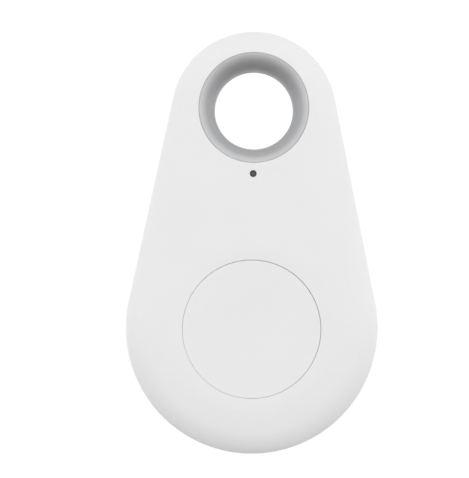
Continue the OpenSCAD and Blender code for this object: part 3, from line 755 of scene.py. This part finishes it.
# ---- Capacitors and resistors
# Small fired blocks with tinned end caps, soldered to the board's front: brown capacitors, black resistors.
solder_tin = grained_material("solder_tin", (0.55, 0.55, 0.54), (0.72, 0.72, 0.71), (0.25, 0.42),
                              9000, 1500, 0.4, metallic=1)
capacitor_brown = grained_material("capacitor_brown", (0.30, 0.19, 0.10), (0.44, 0.29, 0.17), (0.35, 0.5),
                                   9000, 1800, 0.4)
resistor_black = grained_material("resistor_black", (0.008, 0.008, 0.01), (0.025, 0.025, 0.03), (0.12, 0.25),
                                  9000, 1800, 0.2)
for (name, node, slot, body, tall, places) in [
        ("chip_caps", "chip_capacitors", "capacitor_ceramic", capacitor_brown, 0.5,
         [(1.6, -10.2), (1.6, -15.6), (3.8, -14.6), (5.6, -14.6), (-4.6, -16.2), (-2.6, -16.2),
          (-6.6, -13.4), (-6.6, -14.4)]),
        ("chip_res", "chip_resistors", "resistor_glaze", resistor_black, 0.35,
         [(2.4, -9.2), (-2.4, -9.2), (-3.8, -10.2), (0.2, -16.4), (6.4, -12.6), (-7, -15.6)])]:
    small_bm = bmesh.new()
    for (x, z) in places:
        soft_block(small_bm, (x, -board_front - tall / 2 + 0.02, z), (0.64, tall - 0.04, 0.48), 0.03)
        for end_x in (x + 0.4, x - 0.4):
            for face in soft_block(small_bm, (end_x, -board_front - tall / 2, z), (0.2, tall, 0.5), 0.05):
                face.material_index = 1
    small_piece = finish_mesh(small_bm, name, [body, solder_tin])
    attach(small_piece, "housing")
    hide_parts(node)

# ---- Transistor and diode
# The parts that drive the sounder: black resin bodies on the board's back, held by bent tinned legs.
for (name, node, x, z, size, legs) in [
        ("driver_body", "driver_transistor", -7.4, -9.6, (2.9, 0.9, 1.3),
         [(-8.35, -8.7, 0.4, 0.9, -1), (-6.45, -8.7, 0.4, 0.9, -1), (-7.4, -10.5, 0.4, 0.9, 1)]),
        ("diode_body", "clamp_diode", 7, -9.4, (1.8, 0.8, 1.3),
         [(8.1, -9.4, 0.6, 0.4, 0), (5.9, -9.4, 0.6, 0.4, 0)])]:
    part_bm = bmesh.new()
    low = -board_back + 0.1
    soft_block(part_bm, (x, low + size[1] / 4, z), (size[0], size[1] / 2, size[2]), 0.06)
    soft_block(part_bm, (x, low + size[1] * 0.7, z), (size[0] - 0.14, size[1] * 0.6, size[2] - 0.14), 0.06)
    for (leg_x, leg_z, wide, long, side) in legs:
        inner = Vector((x - leg_x, 0, 0)).normalized() * 0.2 if side == 0 else Vector((0, 0, side * 0.3))
        for (dx, dy, dz, sx, sy, sz) in [
                (0, 0.05, 0, wide, 0.1, long),
                (inner.x, 0.2, inner.z, 0.12 if side == 0 else wide, 0.38, 0.4 if side == 0 else 0.12)]:
            for face in soft_block(part_bm, (leg_x + dx, -board_back + dy, leg_z + dz), (sx, sy, sz), 0.02):
                face.material_index = 1
    part_piece = finish_mesh(part_bm, name, [chip_black, solder_tin])
    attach(part_piece, "housing")
    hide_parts(node)

# ---- Push switch
# Black moulded base with a sheet-steel cover clipped over it. Its plunger bears on a thin steel snap dome.
switch_black = grained_material("switch_black", (0.014, 0.014, 0.015), (0.035, 0.035, 0.037), (0.38, 0.55),
                                8000, 700, 0.4)
spring_sheet = brushed_metal("spring_sheet", (0.56, 0.55, 0.51), (0.66, 0.65, 0.60), (0.24, 0.34),
                             (3500, 500, 500))
finish_node("switch_base", switch_black)
finish_node("switch_cover", spring_sheet)
finish_node("switch_plunger", switch_black)
finish_node("switch_dome", spring_sheet)

# ---- Sounder
# Black resin case, open to the board, with a sound port in one side. Inside are an iron pole with a coil on
# it, a ring magnet, and the thin iron diaphragm that they shake.
sounder_z, sounder_w, sounder_low, sounder_bore_r = -11.55, 7.5, 2.1, 3.3
sounder_mid = (sounder_low - board_back) / 2
case_bm = bmesh.new()
soft_block(case_bm, (0, sounder_mid, sounder_z), (sounder_w, sounder_low + board_back, sounder_w), 0.22,
           segments=3)
floor_faces = [f for f in case_bm.faces if f.normal.y < -0.99 and f.calc_area() > 1 * MM * MM]
port_faces = [f for f in case_bm.faces if f.normal.x > 0.99 and f.calc_area() > 1 * MM * MM]
bmesh.ops.delete(case_bm, geom=floor_faces, context="FACES_ONLY")
rim = [e for e in case_bm.edges if e.is_boundary]
bore = bmesh.ops.create_circle(case_bm, cap_ends=False, segments=64, radius=sounder_bore_r * MM,
                               matrix=Matrix.Translation((0, -board_back * MM, sounder_z * MM))
                               @ Matrix.Rotation(pi / 2, 4, "X"))
bore_loop = list({e for v in bore["verts"] for e in v.link_edges})
bmesh.ops.bridge_loops(case_bm, edges=rim + bore_loop)
bore_loop = drop_loop(case_bm, bore_loop, -(sounder_low - 0.4), sounder_bore_r, sounder_z, 1)
bmesh.ops.edgeloop_fill(case_bm, edges=bore_loop)
bmesh.ops.inset_region(case_bm, faces=port_faces, thickness=0.05 * MM, use_even_offset=True)
port_y, port_half_y, port_half_z, port_depth = 1.25, 0.3, 0.75, 0.42
for v in {v for f in port_faces for v in f.verts}:
    v.co.y = (port_y + (port_half_y if v.co.y > sounder_mid * MM else -port_half_y)) * MM
    v.co.z = (sounder_z + (port_half_z if v.co.z > sounder_z * MM else -port_half_z)) * MM
sunk = bmesh.ops.extrude_discrete_faces(case_bm, faces=port_faces)
sunk_verts = list({v for f in sunk["faces"] for v in f.verts})
bmesh.ops.translate(case_bm, verts=sunk_verts, vec=(-port_depth * MM, 0, 0))
case_piece = finish_mesh(case_bm, "sounder_box", [switch_black])
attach(case_piece, "housing")
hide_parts("sounder_case")
pole_iron = brushed_metal("pole_iron", (0.22, 0.22, 0.22), (0.36, 0.36, 0.35), (0.35, 0.5),
                          (900, 900, 900), (0, sounder_z))
ring_ferrite = grained_material("ring_ferrite", (0.03, 0.03, 0.032), (0.075, 0.075, 0.08), (0.5, 0.7),
                                9000, 900, 0.6)
wound_copper = brushed_metal("wound_copper", (0.34, 0.10, 0.035), (0.62, 0.24, 0.09), (0.2, 0.32),
                             (400, 12000, 400))
finish_node("sounder_core", pole_iron)
finish_node("sounder_magnet", ring_ferrite)
finish_node("sounder_coil", wound_copper)
finish_node("sounder_diaphragm", pole_iron)

# ---- Coin-cell holder
# A black moulded ring on the board's back, open at the sides for the sprung contacts and at its foot for a
# fingertip. The contacts are bent from plated spring steel and soldered to the board.
holder_black = grained_material("holder_black", (0.012, 0.012, 0.013), (0.03, 0.03, 0.032), (0.4, 0.58),
                                6000, 500, 0.5)
finish_node("cell_cradle", holder_black)
finish_node("positive_contacts", spring_sheet)
finish_node("negative_contact", spring_sheet)

# ---- Coin cell
# Two drawn cups of nickel-plated steel with a black seal between them. The can's rolled edge grips the
# seal, and its floor faces the rear.
cell_z, cell_r, cell_front, cell_back = bottom_z, 10, -0.1, -3.3
cell_sheet, can_roll, cap_r, cap_roll = 0.25, 0.35, 8.6, 0.5
cell_nickel = brushed_metal("cell_nickel", (0.58, 0.58, 0.57), (0.72, 0.72, 0.71), (0.2, 0.34),
                            (120, 120, 120), (0, cell_z))
seal_black = grained_material("seal_black", (0.02, 0.02, 0.022), (0.045, 0.045, 0.047), (0.5, 0.7),
                              9000, 700, 0.3)


def arc(centre_r, centre_d, r, start, end, steps=8):
    """Points of a profile's rounded corner, as (radius, depth)."""
    return [(centre_r + r * cos(radians(start + (end - start) * i / steps)),
             centre_d + r * sin(radians(start + (end - start) * i / steps))) for i in range(steps + 1)]


can_bm = bmesh.new()
can_line = [(0, cell_back), (8.9, cell_back), (9.1, cell_back + 0.03), (9.2, cell_back)]
can_line += arc(cell_r - can_roll, cell_back + can_roll, can_roll, -90, 0)
can_line += arc(cell_r - can_roll, cell_front - 0.65, can_roll, 0, 90)
can_line += [(9.3, cell_front - 0.3), (9.3, cell_front - 0.5), (9.6, cell_front - 0.5)]
can_line += [(cell_r - cell_sheet, cell_front - 0.65), (cell_r - cell_sheet, cell_back + can_roll)]
can_line += [(cell_r - can_roll, cell_back + cell_sheet), (0, cell_back + cell_sheet)]
spin_profile(can_bm, can_line, 0, cell_z, steps=160)
can_piece = finish_mesh(can_bm, "cell_cup", [cell_nickel])
cap_bm = bmesh.new()
cap_foot = cell_back + 0.9
cap_line = [(0, cell_front), (8.0, cell_front)]
cap_line += arc(cap_r - cap_roll, cell_front - cap_roll, cap_roll, 90, 0)
cap_line += [(cap_r, cap_foot), (cap_r - cell_sheet, cap_foot), (cap_r - cell_sheet, cell_front - cap_roll)]
cap_line += arc(cap_r - cap_roll, cell_front - cap_roll, cap_roll - cell_sheet, 0, 90)
spin_profile(cap_bm, cap_line + [(0, cell_front - cell_sheet)], 0, cell_z, steps=160)
cap_piece = finish_mesh(cap_bm, "cell_lid", [cell_nickel])
seal_bm = bmesh.new()
spin_profile(seal_bm, [(8.65, cell_back + 0.3), (9.25, cell_back + 0.3), (9.25, cell_front - 0.3),
                       (9.15, cell_front - 0.22), (8.75, cell_front - 0.22), (8.65, cell_front - 0.3)],
             0, cell_z, steps=160, closed=True)
seal_piece = finish_mesh(seal_bm, "cell_seal", [seal_black])
for (piece, node, slot) in [(can_piece, "cell_can", "cell_steel"), (cap_piece, "cell_cap", "cell_steel"),
                            (seal_piece, "cell_gasket", "gasket_plastic")]:
    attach(piece, "cell")
    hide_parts(node)

# ---- Foam pad
# A die-cut disc of grey closed-cell foam, stuck inside the rear shell so that the cell doesn't rattle.
pad_grey, shader, nodes, links = new_material("pad_grey")
spot = nodes.new("ShaderNodeTexCoord")
pores = nodes.new("ShaderNodeTexVoronoi")
pores.inputs["Scale"].default_value = 3200
links.new(spot.outputs["Object"], pores.inputs["Vector"])
tint = ramped(pores.outputs["Distance"], [(0, (0.035, 0.035, 0.037)), (1, (0.11, 0.11, 0.115))])
links.new(tint, shader.inputs["Base Color"])
raised(shader, pores.outputs["Distance"], 0.8, 0.06)
shader.inputs["Roughness"].default_value = 0.92
pad_r, pad_front, pad_back = 6, -3.4, -4.29
pad_bm = bmesh.new()
pad_line = [(0, pad_back), (pad_r, pad_back), (pad_r, pad_front - 0.1)]
pad_line += arc(pad_r - 0.1, pad_front - 0.1, 0.1, 0, 90, 4) + [(0, pad_front)]
spin_profile(pad_bm, pad_line, 0, bottom_z, steps=96)
pad_piece = finish_mesh(pad_bm, "foam_pad", [pad_grey])
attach(pad_piece, "cover")
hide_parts("cell_pad")
